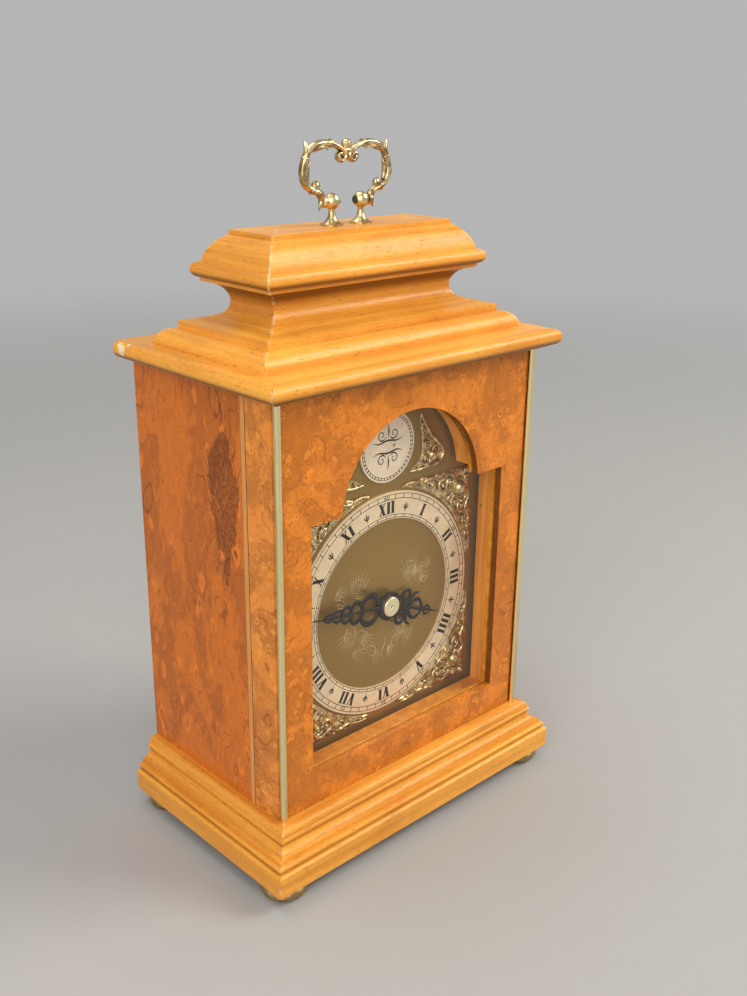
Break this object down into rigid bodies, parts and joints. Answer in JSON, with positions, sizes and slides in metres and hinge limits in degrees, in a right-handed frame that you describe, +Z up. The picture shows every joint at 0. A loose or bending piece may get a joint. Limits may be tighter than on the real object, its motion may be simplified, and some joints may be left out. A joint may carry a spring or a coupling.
{
  "type": "bracket clock",
  "caption": "Wooden bracket clock: burr case on bun feet, caddy top with carrying handle, glazed door, break-arch brass dial, rear-wound lever movement",
  "frame": {"origin": "centre of the bounding box in X and Y, at the bottom of the bun feet", "axes": "+Z up, the dial faces -Y, X across the front with +X to the right seen from the front"},
  "size_m": [0.162, 0.1032, 0.2816],
  "materials": {
    "wood_gold": "honey-gold moulding timber, fine dark pores, worn waxed polish",
    "wood_burr": "reddish-brown burr veneer, swirling figure, polished",
    "wood_door": "orange-brown mottled burr veneer, polished",
    "wood_dark": "blackened stringing line",
    "wood_plain": "plain oak carcase, oiled",
    "wood_reveal": "plain orange timber, polished",
    "brass_aged": "aged lacquered brass, dull in the hollows",
    "brass_bright": "bright machined brass",
    "brass_dial": "matted brass dial centre, light engraved scrolls",
    "silvered": "silvered brass, black-filled numerals",
    "steel": "polished steel",
    "steel_black": "blackened steel",
    "steel_blue": "blued steel",
    "glass": "clear flat pane"
  },
  "bodies": {
    "clock_case": {"bun_feet": "brass_aged", "plinth": "wood_gold", "lower_base_moulding": "wood_gold", "upper_base_moulding": "wood_gold", "bottom_board": "wood_plain", "side_panels": "wood_burr", "front_stiles": "wood_gold", "side_stringing": "wood_dark", "corner_rods": "brass_aged", "top_board": "wood_plain", "cornice_moulding": "wood_gold", "caddy_base": "wood_gold", "caddy_neck": "wood_gold", "caddy_torus": "wood_gold", "caddy_dome": "wood_gold", "caddy_cap": "wood_gold", "handle_posts": "brass_aged", "dial_surround": "wood_reveal", "dial_plate": "brass_dial", "chapter_ring": "silvered", "arch_disc": "silvered", "corner_spandrels": "brass_aged", "arch_spandrels": "brass_aged", "rear_hinge_case_leaves": "brass_aged", "seat_board": "wood_plain", "movement_fasteners": "steel", "front_plate": "brass_bright", "back_plate": "brass_bright", "pillars": "brass_bright", "click_spring": "steel", "escapement_cocks": "brass_bright"},
    "front_door": {"door_frame": "wood_door", "door_glass": "glass", "door_glass_bead": "wood_gold", "door_pivot_pins": "brass_aged"},
    "rear_door_body": {"rear_door": "wood_plain", "rear_hinge_door_leaves": "brass_aged"},
    "rear_latch_body": {"rear_latch": "brass_aged"},
    "handle": {"handle_bail": "brass_aged", "handle_pivot_screws": "steel"},
    "minute_arbor": {"centre_arbor": "steel", "minute_hand": "steel_black", "hand_nut": "brass_bright", "set_knob": "brass_bright"},
    "hour_pipe": {"hour_wheel": "brass_bright", "hour_hand": "steel_black"},
    "minute_wheel_body": {"minute_wheel": "brass_bright"},
    "winding_arbor": {"barrel_arbor": "steel", "winding_key": "steel"},
    "barrel_body": {"mainspring_barrel": "brass_bright", "mainspring": "steel"},
    "click_body": {"click": "steel"},
    "intermediate_arbor": {"intermediate_wheel": "brass_bright"},
    "centre_pipe": {"centre_wheel": "brass_bright"},
    "third_arbor": {"third_wheel": "brass_bright"},
    "fourth_arbor": {"fourth_wheel": "brass_bright"},
    "escape_arbor": {"escape_wheel": "brass_bright"},
    "lever_body": {"lever": "steel"},
    "balance_body": {"balance_wheel": "brass_bright", "hairspring": "steel_blue"}
  },
  "joints": [
    {"name": "front_door_hinge", "type": "hinge", "parent": "clock_case", "child": "front_door", "pos_m": [0.065, -0.0374, 0.1128], "axis": [0, 0, 1], "range_deg": [0, 100]},
    {"name": "rear_door_hinge", "type": "hinge", "parent": "clock_case", "child": "rear_door_body", "pos_m": [-0.06185, 0.04955, 0.1128], "axis": [0, 0, 1], "range_deg": [0, 110]},
    {"name": "rear_latch_turn", "type": "hinge", "parent": "rear_door_body", "child": "rear_latch_body", "pos_m": [0.052, 0.0454, 0.1139], "axis": [0, 1, 0], "range_deg": [0, 90]},
    {"name": "handle_pivot", "type": "hinge", "parent": "clock_case", "child": "handle", "pos_m": [0, 0.0016, 0.2588], "axis": [1, 0, 0], "range_deg": [-105, 105]},
    {"name": "hands_turn", "type": "hinge", "parent": "clock_case", "child": "minute_arbor", "pos_m": [0, 0, 0.0961], "axis": [0, 1, 0], "continuous": true},
    {"name": "hour_turn", "type": "hinge", "parent": "clock_case", "child": "hour_pipe", "pos_m": [0, -0.019, 0.0961], "axis": [0, 1, 0], "continuous": true},
    {"name": "minute_wheel_turn", "type": "hinge", "parent": "clock_case", "child": "minute_wheel_body", "pos_m": [0.006, -0.017, 0.08571], "axis": [0, 1, 0], "continuous": true},
    {"name": "winding_turn", "type": "hinge", "parent": "clock_case", "child": "winding_arbor", "pos_m": [-0.008, 0.014, 0.0641], "axis": [0, 1, 0], "continuous": true},
    {"name": "click_lift", "type": "hinge", "parent": "clock_case", "child": "click_body", "pos_m": [0.00003, 0.0146, 0.07557], "axis": [0, -1, 0], "range_deg": [0, 10], "stiffness_Nm_per_rad": 0.0005, "deforming": ["click_spring"]},
    {"name": "fourth_turn", "type": "hinge", "parent": "clock_case", "child": "fourth_arbor", "pos_m": [-0.00045, 0.006, 0.11769], "axis": [0, 1, 0], "continuous": true},
    {"name": "third_turn", "type": "hinge", "parent": "clock_case", "child": "third_arbor", "pos_m": [0.0072, 0.003, 0.10857], "axis": [0, 1, 0], "continuous": true},
    {"name": "centre_turn", "type": "hinge", "parent": "clock_case", "child": "centre_pipe", "pos_m": [0, -0.001, 0.0961], "axis": [0, 1, 0], "continuous": true},
    {"name": "intermediate_turn", "type": "hinge", "parent": "clock_case", "child": "intermediate_arbor", "pos_m": [-0.01266, -0.006, 0.08673], "axis": [0, 1, 0], "continuous": true},
    {"name": "barrel_turn", "type": "hinge", "parent": "clock_case", "child": "barrel_body", "pos_m": [-0.008, -0.005, 0.0641], "axis": [0, 1, 0], "continuous": true},
    {"name": "escape_turn", "type": "hinge", "parent": "clock_case", "child": "escape_arbor", "pos_m": [-0.00902, 0.016, 0.12264], "axis": [0, 1, 0], "continuous": true},
    {"name": "lever_swing", "type": "hinge", "parent": "clock_case", "child": "lever_body", "pos_m": [-0.00302, 0.016, 0.12264], "axis": [0, 1, 0], "range_deg": [-5, 5]},
    {"name": "balance_swing", "type": "hinge", "parent": "clock_case", "child": "balance_body", "pos_m": [0.00498, 0.02, 0.12264], "axis": [0, 1, 0], "range_deg": [-220, 220], "stiffness_Nm_per_rad": 0.00001, "deforming": ["hairspring"]}
  ],
  "couplings": [
    {"joint": "hour_turn", "follows": "hands_turn", "ratio": 0.083333},
    {"joint": "minute_wheel_turn", "follows": "hands_turn", "ratio": -0.33333},
    {"joint": "third_turn", "follows": "fourth_turn", "ratio": -0.13333},
    {"joint": "centre_turn", "follows": "fourth_turn", "ratio": 0.016667},
    {"joint": "intermediate_turn", "follows": "fourth_turn", "ratio": -0.0027778},
    {"joint": "barrel_turn", "follows": "fourth_turn", "ratio": 0.00046296},
    {"joint": "escape_turn", "follows": "fourth_turn", "ratio": -10}
  ]
}
